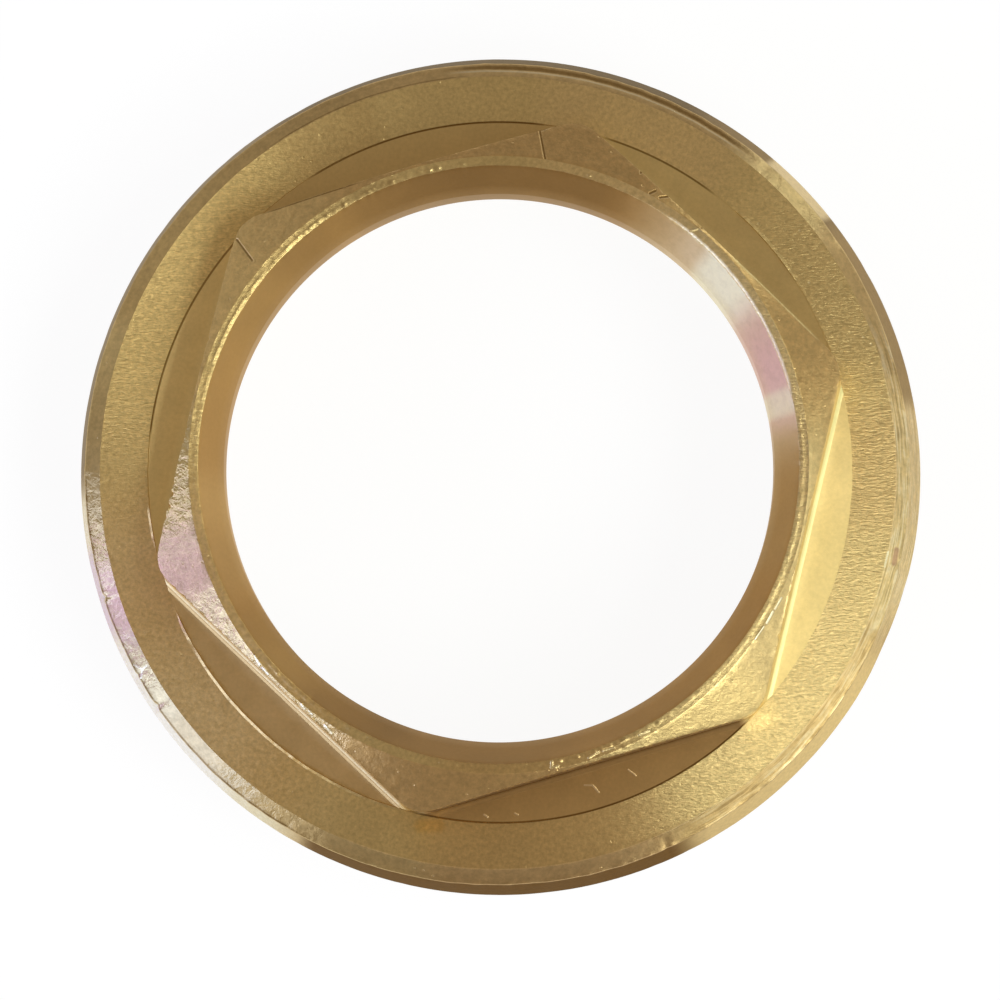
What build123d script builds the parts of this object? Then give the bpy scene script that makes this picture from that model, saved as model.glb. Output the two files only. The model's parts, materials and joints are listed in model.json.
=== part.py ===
"""Cartridge retaining nut of a single-lever mixer tap, turned and milled from one piece of brass.

The axis is Z and the hexagon points up. The origin lies on the axis in the thread's end face,
on which the nut stands. One flat of the hexagon faces +X. All sizes are in millimetres.
"""

import os
from math import cos, radians, sin, tan

from build123d import *

# Bore, from its narrow land outward: the cartridge's neck stands in it.
bore_diameter = 31.9
countersink_width = 1.35
countersink_depth = 2.3
bore_land_length = 2.1
under_chamfer = 1.0

# Hexagon: a narrow flat crown, a cone that falls to the corners, and corners turned to a boss.
crown_width = 0.55
crown_to_flat = 0.15
crown_cone_angle = 30.0
corner_cut = 0.23
hexagon_height = 4.4
hexagon_sides = 6
foot_fillet = 0.3

# Milled floors beside the flats. They lean a little, because the blank stood askew in the chuck.
floor_drop = 0.04
floor_lean = 0.3
floor_rise_direction = -136.5

# Flange: a turned face, a chamfer and a rim that widens downwards to a small break.
face_width = 2.7
rim_chamfer_width = 0.84
rim_chamfer_height = 0.6
rim_flare = 0.6
rim_break = 0.4
flange_thickness = 2.8

# Recess for the cartridge's shoulder, and the thread round it, drawn at its major diameter.
# A relief groove lets the thread run out, and sinks a little into the flange's seating face.
seat_width = 1.65
seat_fillet = 0.4
mouth_chamfer = 0.4
thread_wall = 3.4
thread_length = 7.0
thread_depth = 0.92
thread_lead = 0.9
relief_width = 1.2
face_relief_width = 0.3
face_relief_depth = 0.2

# Radii, from the bore outward.
bore_radius = bore_diameter / 2
crown_inner_radius = bore_radius + countersink_width
crown_outer_radius = crown_inner_radius + crown_width
flat_radius = crown_outer_radius + crown_to_flat
boss_radius = flat_radius / cos(radians(180 / hexagon_sides)) - corner_cut
face_radius = boss_radius + face_width
rim_top_radius = face_radius + rim_chamfer_width
rim_radius = rim_top_radius + rim_flare
seat_radius = bore_radius + seat_width
thread_radius = seat_radius + thread_wall
relief_radius = thread_radius - thread_depth

# Heights, from the thread's end face up to the crown and back down the bore.
flange_bottom = thread_length
flange_top = flange_bottom + flange_thickness
crown_height = flange_top + hexagon_height
cone_fall = (boss_radius - crown_outer_radius) * tan(radians(crown_cone_angle))
land_top = crown_height - countersink_depth
land_bottom = land_top - bore_land_length
seat_height = land_bottom - under_chamfer
relief_height = flange_bottom - relief_width
floor_height = flange_top - floor_drop
floor_rise = boss_radius * tan(radians(floor_lean))

# The plane of the milled floors: its normal leans away from the side where they rise.
milled_plane = Plane(
    origin=(0, 0, floor_height),
    z_dir=(
        -sin(radians(floor_lean)) * cos(radians(floor_rise_direction)),
        -sin(radians(floor_lean)) * sin(radians(floor_rise_direction)),
        cos(radians(floor_lean)),
    ),
)

os.makedirs("parts", exist_ok=True)

# What milling takes off the round boss: one segment outside each flat, its lower edge rounded
# by the corner of the mill.
with BuildPart() as milling_waste:
    with BuildSketch(Plane.XY.offset(flange_bottom)):
        Circle(boss_radius)
        RegularPolygon(
            flat_radius,
            hexagon_sides,
            major_radius=False,
            rotation=180 / hexagon_sides,
            mode=Mode.SUBTRACT,
        )
    extrude(amount=crown_height - flange_bottom)
    split(bisect_by=milled_plane, keep=Keep.TOP)
    foot_edges = milling_waste.edges().filter_by(GeomType.LINE).filter_by_position(
        Axis.Z, floor_height - floor_rise, floor_height + floor_rise
    )
    fillet(foot_edges, foot_fillet)

# The nut: the turned section, less the milled segments.
with BuildPart() as retaining_nut:
    with BuildSketch(Plane.XZ) as section:
        with BuildLine():
            Polyline(
                (seat_radius + mouth_chamfer, 0),
                (thread_radius - thread_lead, 0),
                (thread_radius, thread_lead),
                (thread_radius, relief_height - thread_depth),
                (relief_radius, relief_height),
                (relief_radius, flange_bottom + face_relief_depth),
                (thread_radius + face_relief_width, flange_bottom + face_relief_depth),
                (thread_radius + face_relief_width, flange_bottom),
                (rim_radius - rim_break, flange_bottom),
                (rim_radius, flange_bottom + rim_break),
                (rim_top_radius, flange_top - rim_chamfer_height),
                (face_radius, flange_top),
                (boss_radius, flange_top),
                (boss_radius, crown_height - cone_fall),
                (crown_outer_radius, crown_height),
                (crown_inner_radius, crown_height),
                (bore_radius, land_top),
                (bore_radius, land_bottom),
                (bore_radius + under_chamfer, seat_height),
                (seat_radius, seat_height),
                (seat_radius, mouth_chamfer),
                close=True,
            )
        make_face()
        seat_corner = section.vertices().sort_by_distance((seat_radius, seat_height))[0]
        fillet(seat_corner, seat_fillet)
    revolve(axis=Axis.Z)
    add(milling_waste.part, mode=Mode.SUBTRACT)

retaining_nut.part.label = "retaining_nut"
export_step(retaining_nut.part, "parts/retaining_nut.step")
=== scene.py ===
import json
from math import cos, pi, radians, sin, tan

import bmesh
import bpy
import numpy as np
from bpy.props import FloatProperty, FloatVectorProperty, IntProperty, PointerProperty
from mathutils import Matrix, Vector


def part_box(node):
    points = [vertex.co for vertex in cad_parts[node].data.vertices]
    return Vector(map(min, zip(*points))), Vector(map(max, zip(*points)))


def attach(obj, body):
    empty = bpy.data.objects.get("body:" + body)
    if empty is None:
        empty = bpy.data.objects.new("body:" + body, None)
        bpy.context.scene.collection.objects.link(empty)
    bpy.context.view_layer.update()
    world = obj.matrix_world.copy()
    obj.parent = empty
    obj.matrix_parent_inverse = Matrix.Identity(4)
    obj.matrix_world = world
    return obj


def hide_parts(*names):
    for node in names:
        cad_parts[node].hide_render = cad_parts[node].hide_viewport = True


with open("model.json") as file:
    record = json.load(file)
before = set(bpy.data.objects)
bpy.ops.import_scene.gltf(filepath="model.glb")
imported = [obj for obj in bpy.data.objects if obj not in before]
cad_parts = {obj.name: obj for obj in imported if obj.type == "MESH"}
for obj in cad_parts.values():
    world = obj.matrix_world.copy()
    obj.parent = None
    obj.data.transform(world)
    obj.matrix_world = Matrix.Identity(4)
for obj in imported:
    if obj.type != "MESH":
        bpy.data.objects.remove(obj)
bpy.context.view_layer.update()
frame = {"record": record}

bl_info = {
    "name": "Cartridge Retaining Nut",
    "version": (1, 0, 0),
    "blender": (4, 5, 0),
    "location": "3D View > Sidebar > Retaining Nut",
    "description": "Builds the brass nut that holds the cartridge in a tap, and a pale studio",
    "category": "Add Mesh",
}

NODE = "retaining_nut"
NODE_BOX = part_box(NODE)
MOUNTS = {mount["name"]: mount for mount in frame["record"]["mounts"]}
MM = 0.001

# Places on the nut are given as they are met going clockwise round it from the right, seen from
# above. The hexagon's flat that faces +X lies at FIRST_FLAT degrees, so the photo's right is
# FIRST_TURN from the X axis.
FIRST_FLAT = 13.5
FIRST_TURN = radians(FIRST_FLAT)

# Points in a ring of the skin, above and below the flange's lower edge.
COLUMNS = 1200
LOWER_COLUMNS = 300
# Smallest gap between two rings of the floor, how near two points lie to be joined, and how
# short an edge is to be dropped, all in millimetres.
RING_GAP = 0.003
JOIN_GAP = 0.0015
THIN_EDGE = 0.0005
# Edges sharper than this stay sharp, in degrees.
SHARP_ANGLE = 27
# The milled lay is kept as a UV map, in which a metre is this long.
LAY = "milled_lay"
LAY_SCALE = 20.0

# What each strip of the skin is finished as, in the order of the material slots.
TURNED, CONE, MILLED, CHAMFER, BORE, THREAD = range(6)


def bearing_of(place):
    """The angle from the X axis to a place round the nut."""
    return radians(FIRST_FLAT - place)


def toward(turn, reach=1.0):
    """The level point at an angle from the X axis and a distance from the Z axis."""
    return reach * cos(turn), reach * sin(turn), 0.0


# Properties -----------------------------------------------------------------------------------

def length(name, description, default):
    return FloatProperty(
        name=name, description=description, default=default, min=0.0, precision=5,
        subtype="DISTANCE", unit="LENGTH",
    )


def angle(name, description, default):
    return FloatProperty(
        name=name, description=description, default=radians(default),
        subtype="ANGLE", unit="ROTATION",
    )


def colour(name, description, default):
    return FloatVectorProperty(
        name=name, description=description, default=default, min=0.0, max=1.0,
        size=3, subtype="COLOR",
    )


def share(name, description, default):
    return FloatProperty(
        name=name, description=description, default=default, min=0.0, max=1.0, subtype="FACTOR"
    )


def brightness(name, description, default):
    return FloatProperty(name=name, description=description, default=default, min=0.0)


def mount_radius(name):
    return MOUNTS[name]["dims"]["r_mm"] * MM


class NutSizes(bpy.types.PropertyGroup):
    """Sizes of the nut, as in its drawing"""

    bore_radius: length("Bore radius", "Radius of the bore's land", mount_radius("neck_bore"))
    land_length: length(
        "Bore land", "Length of the bore's land", MOUNTS["neck_bore"]["dims"]["length_mm"] * MM
    )
    land_middle: length(
        "Land height", "Height of the middle of the bore's land", MOUNTS["neck_bore"]["pos_m"][2]
    )
    countersink_width: length("Countersink", "Width of the cone at the bore's mouth", 1.35 * MM)
    crown_width: length("Crown width", "Width of the flat ring round the bore's mouth", 0.55 * MM)
    crown_to_flat: length("Crown to flat", "Gap between the crown and the flats", 0.15 * MM)
    crown_cone_angle: angle("Cone angle", "Slope of the cone from the crown to the corners", 30)
    corner_cut: length("Corner cut", "How much is turned off the hexagon's corners", 0.23 * MM)
    corner_blend: length("Corner blend", "Width over which a flat meets the cut corner", 0.35 * MM)
    hexagon_height: length("Hexagon height", "Height of the hexagon above the flange", 4.4 * MM)
    floor_lean: angle("Floor lean", "Slope of the milled floors", 0.3)
    face_width: length("Flange face", "Width of the flange's flat face", 2.7 * MM)
    chamfer_width: length("Rim chamfer", "Width of the chamfer round the flange", 0.84 * MM)
    chamfer_height: length("Rim chamfer height", "Height of the chamfer round the flange", 0.6 * MM)
    rim_break: length("Rim break", "Size of the broken lower edge of the rim", 0.4 * MM)
    flange_bottom: length(
        "Seat height", "Height of the flange's seating face", MOUNTS["flange_seat"]["pos_m"][2]
    )
    flange_thickness: length("Flange", "Thickness of the flange", 2.8 * MM)
    recess_radius: length(
        "Recess radius", "Radius of the recess below", mount_radius("shoulder_recess")
    )
    recess_fillet: length("Recess fillet", "Radius in the corner of the recess", 0.4 * MM)
    thread_radius: length("Thread radius", "Major radius of the thread", mount_radius("thread"))
    thread_pitch: length("Thread pitch", "Distance from one turn to the next", 1.5 * MM)
    thread_crest: length("Thread crest", "Width of the flat on top of a turn", 0.19 * MM)
    thread_depth: length("Thread depth", "Depth of the thread", 0.87 * MM)
    relief_depth: length("Relief depth", "Depth of the groove above the thread", 0.92 * MM)
    relief_width: length("Relief width", "Height of the groove above the thread", 1.2 * MM)


class NutWear(bpy.types.PropertyGroup):
    """Burrs, nicks and tool marks"""

    burr_height: length("Burr height", "Height of the burrs on the crown's two edges", 0.05 * MM)
    rag: length("Raggedness", "Unevenness of the turned and milled edges", 0.012 * MM)
    dish: length("Dish", "How far the flange's face falls towards its edge", 0.07 * MM)
    bump: share("Tool marks", "Strength of the fine tool marks", 0.5)
    seed: IntProperty(name="Seed", description="Start of the random unevenness", default=7, min=0)


class NutFinish(bpy.types.PropertyGroup):
    """Colours and smoothness of the brass"""

    brass: colour("Brass", "Colour of the bare brass", (0.77, 0.58, 0.265))
    # The bore's colour is the brass darkened as painted shade.
    bore: colour("Bore", "Colour of the brass in the bore", (0.50, 0.30, 0.105))
    chamfer: colour("Chamfer", "Colour of the brass on the chamfer", (0.70, 0.52, 0.25))
    # Painted shade, laid on the rim's darkest stretch, in corners, grooves and scratches, and along
    # edges.
    painted_shade: colour("Tarnish", "Colour of the darkest stretch of the rim", (0.155, 0.07, 0.005))
    # This colour gives light streaks on the chamfer, a painted reflection on the rim's brightest
    # stretch and a painted highlight by the chamfer's tool groove.
    rubbed: colour("Rubbed", "Colour of the brightest stretch of the rim", (0.80, 0.72, 0.50))
    # This colour gives dark streaks on the chamfer, and painted shade on the rim's dull stretches.
    dulled_and_shade: colour("Dulled", "Colour of the rim where it is dull", (0.27, 0.18, 0.075))
    turned_roughness: share("Turned", "Roughness of the turned faces", 0.33)
    milled_roughness: share("Milled", "Roughness of the milled floors", 0.31)
    chamfer_roughness: share("Chamfer roughness", "Roughness of the chamfer and rim", 0.34)


class NutStage(bpy.types.PropertyGroup):
    """Floor, lamps and camera"""

    floor_size: length("Floor", "Length of the floor's side", 3.0)
    above: colour("Light above", "Colour of the light from above", (0.39, 0.335, 0.265))
    around: colour("Light around", "Colour of the light from the sides", (0.25, 0.21, 0.17))
    key: brightness("Key light", "Brightness of the two main lamps", 6.2)
    window: brightness("Window light", "Brightness of the low window", 4.1)
    distance: length("Camera distance", "Distance from the camera to the nut", 0.3002775)
    bearing: angle("Camera bearing", "Direction from the nut to the camera", -66.9164)
    elevation: angle("Camera elevation", "Height of the camera above the horizon", 84.8616)
    lens: FloatProperty(
        name="Lens", description="Focal length of the camera", default=179.209,
        min=1.0, unit="CAMERA",
    )


# Skin of the nut -------------------------------------------------------------------------------

class Skin:
    """Rings of points round the axis, each joined to the one before, in millimetres."""

    def __init__(self):
        self.points = []
        self.total = 0
        self.faces = []
        self.zones = []

    def ring(self, radius, height, count):
        """Adds one ring and returns the numbers of its points."""
        turn = np.arange(count) * 2 * pi / count
        radius, height = np.broadcast_to(radius, count), np.broadcast_to(height, count)
        self.points.append(np.stack([radius * np.cos(turn), radius * np.sin(turn), height], 1))
        numbers = self.total + np.arange(count)
        self.total += count
        return numbers

    def add(self, faces, zone):
        self.faces.extend(map(tuple, faces.tolist()))
        self.zones.extend([zone] * len(faces))

    def join(self, first, second, zone):
        """Joins two rings of as many points by quads, or by fans where one has fewer."""
        if len(first) == len(second):
            self.add(np.stack([first, np.roll(first, -1), np.roll(second, -1), second], 1), zone)
            return
        flip = len(first) < len(second)
        dense, sparse = (second, first) if flip else (first, second)
        each = len(dense) // len(sparse)
        after_dense, after_sparse = np.roll(dense, -1), np.roll(sparse, -1)
        position = np.arange(len(dense))
        owner = position // each
        near = np.where(position % each >= each / 2, after_sparse[owner], sparse[owner])
        fans = np.stack([dense, after_dense, near], 1)
        middle = dense[np.arange(len(sparse)) * each + each // 2]
        faces = np.concatenate([fans, np.stack([middle, after_sparse, sparse], 1)])
        self.add(faces[:, ::-1] if flip else faces, zone)

    def rings(self, before, profile, zone):
        """Adds a ring for each radius and height, each joined to the last, and returns the last."""
        for radius, height in profile:
            numbers = self.ring(radius, height, LOWER_COLUMNS)
            self.join(before, numbers, zone)
            before = numbers
        return before


def smooth_min(first, second, blend):
    """The lower of two values, rounded over where they cross."""
    mix = np.clip(0.5 + 0.5 * (second - first) / blend, 0.0, 1.0)
    return second + (first - second) * mix - blend * mix * (1.0 - mix)


class Round:
    """Positions round the nut and the unevenness that goes with them."""

    def __init__(self, count, seed):
        self.azimuth = np.arange(count) * 360.0 / count
        self.place = (FIRST_FLAT - self.azimuth) % 360.0
        self.rightness = np.cos(np.radians(self.place))
        self.random = np.random.default_rng(seed)

    def away(self, place):
        """Degrees from a place, from -180 to 180."""
        return (self.place - place + 180.0) % 360.0 - 180.0

    def stretch(self, start, end, soft=1.0):
        """1 between two places and 0 elsewhere, with soft ends. It runs clockwise from start."""
        half = ((end - start) % 360.0) / 2
        beyond = np.abs(self.away(start + half)) - half
        return np.clip(0.5 - beyond / soft, 0.0, 1.0)

    def stretches(self, marks):
        """The sum of stretches, each given by its two ends, its softness and its size."""
        return sum(size * self.stretch(start, end, soft) for start, end, soft, size in marks)

    def beads(self, marks):
        """The sum of humps, each given by its place, its half width and its size."""
        return sum(
            size * np.exp(-((self.away(place) / width) ** 2)) for place, width, size in marks
        )

    def ragged(self, step, size):
        """Unevenness that changes about every step degrees."""
        knots = max(8, int(round(360.0 / step)))
        values = self.random.normal(0.0, size, knots)
        return np.interp(self.azimuth, np.arange(knots) * 360.0 / knots, values, period=360.0)

    def at_flats(self, values):
        """A value that is constant along each flat and changes at the corners."""
        ends = [(flat, side) for flat in range(-1, 7) for side in (-27, 27)]
        azimuths = [60 * flat + side for flat, side in ends]
        return np.interp(self.azimuth, azimuths, [values[flat % 6] for flat, _ in ends])


# Humps on the crown's inner edge, from the drill, and on its outer edge, from the turning tool:
# place, half width and share of the burr's height.
INNER_BEADS = (
    (57, 0.4, -0.5), (66, 0.5, 0.6), (70.3, 0.5, 1), (71.6, 0.5, 0.8), (73.4, 0.6, 0.5),
    (78.6, 0.5, 0.9), (79.5, 0.3, 1), (98.2, 0.5, 0.6), (100.8, 0.5, 0.7), (104.2, 0.4, -0.6),
    (119, 0.5, 0.4), (129, 0.8, 0.5), (133.6, 0.9, 0.7), (136.6, 0.6, 1), (138.2, 0.4, 0.6),
    (183, 0.4, 0.5), (187, 0.6, 0.5), (193, 0.7, 0.6), (195.4, 0.5, 0.5), (199.5, 0.4, 1),
    (201.6, 0.8, 0.9), (204.4, 0.9, 0.8), (208, 1.4, 0.6), (212.6, 1.2, 0.6), (217, 1.3, 0.5),
    (225.2, 0.6, 1), (226.6, 0.8, 1), (228.2, 0.6, 0.9), (230.2, 0.5, 0.6), (232, 0.7, 0.9),
    (233.6, 0.5, 0.9), (239.5, 0.4, 1), (244.5, 0.5, 0.4), (249.6, 0.5, 0.6), (256.8, 0.6, 1),
    (258.4, 0.4, 0.8), (263, 0.5, 0.6), (287.4, 0.4, 0.8), (291.2, 0.5, 0.5), (295, 0.6, 0.5),
    (309.6, 0.3, 0.9), (310.8, 0.3, 0.8), (318, 0.4, 0.4), (326.2, 0.4, 0.8), (337, 0.6, 0.4),
    (344.8, 0.3, 1), (352, 0.5, 0.4),
)
OUTER_BEADS = (
    (2.5, 0.5, 0.8), (8, 0.6, 0.5), (34.8, 0.3, -0.8), (66, 0.4, 0.4), (79.6, 0.3, 1),
    (122, 1, 0.8), (128, 1.6, 0.8), (131.8, 1.2, 1), (139.4, 0.8, 1), (141.2, 0.8, 1),
    (146.6, 0.8, 0.6), (220.6, 0.4, 0.5), (280, 0.5, 0.4), (311, 0.4, 0.6), (330, 0.4, 0.5),
)
# The facet at the foot of each flat, counted from the one that faces +X, anticlockwise: where it
# starts and ends, in millimetres from the flat, and its slope in degrees.
FACET_STARTS = (0.24, 0.04, 0.04, 0.04, 0.1, 0.05)
FACET_ENDS = (0.46, 0.3, 0.3, 0.3, 0.38, 0.36)
FACET_SLOPES = (15, 45, 45, 45, 36, 48)
# Each edge of the facet has a row this far on either side, in millimetres, and inside the facet the
# foot rises this steeply to the flat.
FACET_EDGE = 0.012
FOOT_RISE = 1.6
# The milled floor of each flat, counted the same way: how far it lies above the flange's face where
# they meet, in millimetres, and how steeply it falls outward, in degrees.
FLOOR_STEPS = (0, -0.01, -0.03, -0.03, 0, -0.03)
FLOOR_FALLS = (3.8, 0, 0, -1, 0, 0)
# The floors also lean together. They rise outward most at this azimuth, in degrees.
LEAN_AZIMUTH = -136.5
# The hexagon's wall stays this far inside the boss's edge, where the step between the floors and
# the flange's face lies. The step is twice STEP_HALF wide.
CORNER_ROOM = 0.07
STEP_HALF = 0.03
# Raised stretches of the crown's outer edge, in shares of the burr's height, and of the hexagon's
# upper edge, in millimetres. Each is given by its two ends, the softness of them, and its height.
OUTER_LIFTS = ((355, 35, 1, 0.35), (118, 152, 1, 0.3))
EDGE_LIPS = ((107, 160, 1, 0.025), (350, 35, 1, 0.02), (320, 338, 3, 0.02))
# The mill's burr on the step, on the side near the camera and on the far side, given the same way.
NEAR_BURRS = ((107, 155, 3, 0.09), (168, 175, 2, 0.07))
FAR_BURRS = ((313, 326, 3, 0.06),)
# Rows of the burr on the crown's inner edge: how far out, in millimetres, and share of its height.
INNER_BURR = ((0.06, 0.4), (0.13, 0.95), (0.17, 1), (0.23, 0.3), (0.27, 0))
# Rows of the rim's chamfer: the share of its width, and how deep in the tool's groove they lie.
CHAMFER_ROWS = ((0.12, 0), (0.3, 0), (0.48, 0.5), (0.62, 1), (0.76, 0.2))
TOOL_GROOVE_DEPTH = 0.08
# How far the rim stays inside its solid, the height of the seat's relief, the thread's lead-in and
# the chamfer of the recess, in millimetres.
RIM_ROOM = 0.012
SEAT_RELIEF = 0.2
LEAD_IN = 0.9
RECESS_MOUTH = 0.4
# Nicks in the hexagon's upper edge: place, half width and depth in millimetres.
EDGE_NICKS = (
    (24.5, 0.4, 0.05), (27, 0.3, 0.04), (31.8, 0.5, 0.1), (70.8, 0.4, 0.06), (112, 0.5, 0.05),
    (149, 0.4, 0.05), (153, 0.4, 0.06), (157.4, 0.5, 0.08), (159.4, 0.4, 0.07), (171, 0.3, 0.1),
    (172.8, 0.4, 0.2), (174.8, 0.4, 0.22), (176.6, 0.3, 0.1), (184.2, 0.35, 0.12),
    (185.4, 0.3, 0.12), (186.8, 0.35, 0.1), (203.4, 0.4, 0.12), (241, 0.5, 0.05), (301, 0.5, 0.08),
    (346.9, 0.35, 0.08),
)
# Nicks in the burr line between chamfer and rim, given the same way.
RIM_NICKS = (
    (145.6, 0.45, 0.1), (162.3, 0.4, 0.1), (150.6, 0.3, 0.05), (13.2, 0.7, 0.06), (66, 0.5, 0.03),
)
# Scratches on the cone: the place and radius of one end, those of the other, and the half width.
SCRATCHES = (
    (220.9, 20.1, 219.7, 18.5, 0.11), (277, 19.6, 278.7, 17.85, 0.11), (277, 19.6, 278.9, 20, 0.1),
    (295.5, 19.1, 296, 18.8, 0.1), (299.2, 17.9, 299.8, 18.2, 0.12),
    (301.2, 18, 302.4, 18.35, 0.12), (310.7, 17.95, 311.2, 18.2, 0.08),
)
# Crumbs and bright scrapes round the crown, raised and painted bright as glints, given the same
# way.
CRUMB_GLINTS = (
    (121.6, 18.2, 123.4, 18.06, 0.12), (126.4, 17.96, 127.4, 17.9, 0.08),
    (128.2, 17.94, 129.2, 17.88, 0.11), (137.4, 17.92, 139, 17.94, 0.09),
    (139.8, 17.94, 141.6, 17.84, 0.13), (25.6, 17.98, 28, 17.94, 0.08),
    (28.6, 17.9, 31, 17.92, 0.1), (31.8, 17.88, 34.6, 17.86, 0.07),
    (60.8, 17.62, 62.6, 17.58, 0.11), (68, 17.64, 70, 17.6, 0.08), (71, 17.56, 73, 17.68, 0.1),
    (78.9, 17.72, 80.2, 17.74, 0.11), (80.1, 17.74, 79.9, 17.4, 0.12),
    (309.4, 17.4, 310.2, 17.74, 0.09),
)
# Pale scrapes on the near milled floor, given the same way.
FLOOR_SCRAPES = (
    (66.1, 19.46, 66.9, 18.97, 0.07), (73, 19.62, 73.6, 19.16, 0.09), (73.8, 19.12, 75, 19, 0.08),
    (87, 20.1, 87.5, 20, 0.07), (92, 20.2, 92.6, 20.08, 0.09),
)
# Marks on the flange, given the same way: an amber spot, a painted reflection by a corner and a
# smear on its face, and a knock and a cracked flake on its chamfer.
AMBER = (99.8, 21, 102.4, 21.2, 0.6)
CORNER_REFLECTION = (43.2, 21.3, 45.4, 20.75, 0.6)
SMEAR = (12, 23.13, 14.1, 23.13, 0.11)
KNOCK = (11.4, 23.6, 13.3, 23.6, 0.24)
FLAKE = (
    (150, 24.15, 150.8, 23.85, 0.1), (152, 24.15, 151, 23.85, 0.08), (150.9, 23.9, 151, 23.5, 0.07),
)


def nut_skin(sizes, wear):
    """Works out the whole skin of the nut, from the bore over the crown and back underneath."""
    bore = sizes.bore_radius / MM
    land_bottom = (sizes.land_middle - sizes.land_length / 2) / MM
    land_top = (sizes.land_middle + sizes.land_length / 2) / MM
    crown_inner = bore + sizes.countersink_width / MM
    crown_outer = crown_inner + sizes.crown_width / MM
    flat = crown_outer + sizes.crown_to_flat / MM
    boss = flat / cos(pi / 6) - sizes.corner_cut / MM
    face = boss + sizes.face_width / MM
    rim = NODE_BOX[1].x / MM
    bottom = sizes.flange_bottom / MM
    flange_top = bottom + sizes.flange_thickness / MM
    burr = wear.burr_height / MM
    rag = wear.rag / MM
    crown = flange_top + sizes.hexagon_height / MM - burr
    slope = tan(sizes.crown_cone_angle)

    ring = Round(COLUMNS, wear.seed)
    lean_cos = np.cos(np.radians((ring.azimuth + 30.0) % 60.0 - 30.0))
    facet_start, facet_end = ring.at_flats(FACET_STARTS), ring.at_flats(FACET_ENDS)
    facet_rise = (facet_end - facet_start) * np.tan(np.radians(ring.at_flats(FACET_SLOPES)))
    wall = smooth_min(flat / lean_cos, boss - CORNER_ROOM, sizes.corner_blend / MM)
    step = ring.at_flats(FLOOR_STEPS)
    rise = np.cos(np.radians(ring.azimuth - LEAN_AZIMUTH)) * tan(sizes.floor_lean)
    fall = np.tan(np.radians(ring.at_flats(FLOOR_FALLS)))
    stations = []

    def strip(zone, *rows):
        stations.extend((radius, height, zone) for radius, height in rows)

    def cone_height(radius):
        return crown - (radius - crown_outer) * slope

    def floor_height(radius):
        return flange_top + step + (radius - boss) * (rise - fall)

    def foot_height(radius):
        gap = (radius - wall) * lean_cos
        facet = facet_rise * np.clip((facet_end - gap) / (facet_end - facet_start), 0.0, 1.0)
        return facet + FOOT_RISE * np.clip(facet_start - gap, 0.0, None)

    # Bore: its land, and the countersink up to the crown.
    strip(BORE, (bore, land_bottom), (bore, land_top - 0.05), (bore + 0.015, land_top + 0.03))
    for part in (0.3, 0.6, 0.84):
        radius = bore + part * (crown_inner - bore)
        height = land_top + (radius - bore) / (crown_inner - bore) * (crown - land_top)
        strip(BORE, (radius, np.minimum(height, crown)))

    # Crown's rounded inner edge, with its burr.
    inner = 0.10 + ring.beads(INNER_BEADS) * (1.0 + ring.ragged(0.4, 0.5)) + ring.ragged(0.5, 0.12)
    inner = inner + ring.stretch(197, 236, 6.0) * (0.3 + ring.ragged(0.7, 0.35))
    inner = inner + ring.stretch(335, 84, 10.0) * (0.2 + ring.ragged(0.8, 0.25))
    inner = burr * np.clip(inner, 0.0, 1.0)
    worn = ring.stretch(304, 346, 4.0)
    steep = np.arctan2(crown - land_top, crown_inner - bore)
    roundness = 0.05 + 0.4 * inner + 0.24 * worn
    inner_line = crown_inner + 0.008 * ring.ragged(1.0, 1.0) - 0.25 * inner
    middle = inner_line + roundness * np.tan(steep / 2)
    for part in (1.0, 0.7, 0.4, 0.15):
        height = crown - roundness * (1 - np.cos(part * steep))
        strip(TURNED, (middle - roundness * np.sin(part * steep), height))
    for run, lift in INNER_BURR:
        strip(TURNED, (middle + run * (1.0 - 0.4 * worn), crown + lift * inner * (1.0 - worn)))

    # Crown's outer edge.
    outer = 0.12 + ring.beads(OUTER_BEADS) + ring.stretches(OUTER_LIFTS) + ring.ragged(0.9, 0.14)
    outer = burr * np.clip(outer, 0.0, 1.0)
    strip(TURNED, (crown_outer - 0.18, crown), (crown_outer - 0.08, crown + 0.3 * outer))
    strip(CONE, (crown_outer - 0.02, crown + 0.9 * outer))
    strip(CONE, (crown_outer + 0.04, cone_height(crown_outer + 0.04) + 0.5 * outer))

    # Cone, the hexagon's ragged upper edge, and its flats.
    nicks = ring.beads(EDGE_NICKS) + rag * np.abs(ring.ragged(0.6, 0.8))
    lip = ring.stretches(EDGE_LIPS) + rag * ring.ragged(0.8, 0.5)
    edge = wall - nicks
    for part in np.linspace(0.14, 0.86, 6):
        radius = crown_outer + 0.05 + part * (wall - 0.05 - crown_outer - 0.05)
        strip(CONE, (radius, cone_height(radius)))
    strip(CONE, (edge - 0.045, cone_height(edge - 0.045) + 0.6 * lip))
    strip(CONE, (edge - 0.01, cone_height(edge) + lip))
    strip(MILLED, (wall - 0.8 * nicks, cone_height(wall) - 0.05 - 0.3 * nicks))
    strip(MILLED, (wall - 0.3 * nicks, cone_height(wall) - 0.25 - nicks))
    foot_top = floor_height(wall) + facet_rise + FOOT_RISE * facet_start
    strip(MILLED, (wall, 0.5 * (cone_height(wall) + foot_top)))

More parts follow.
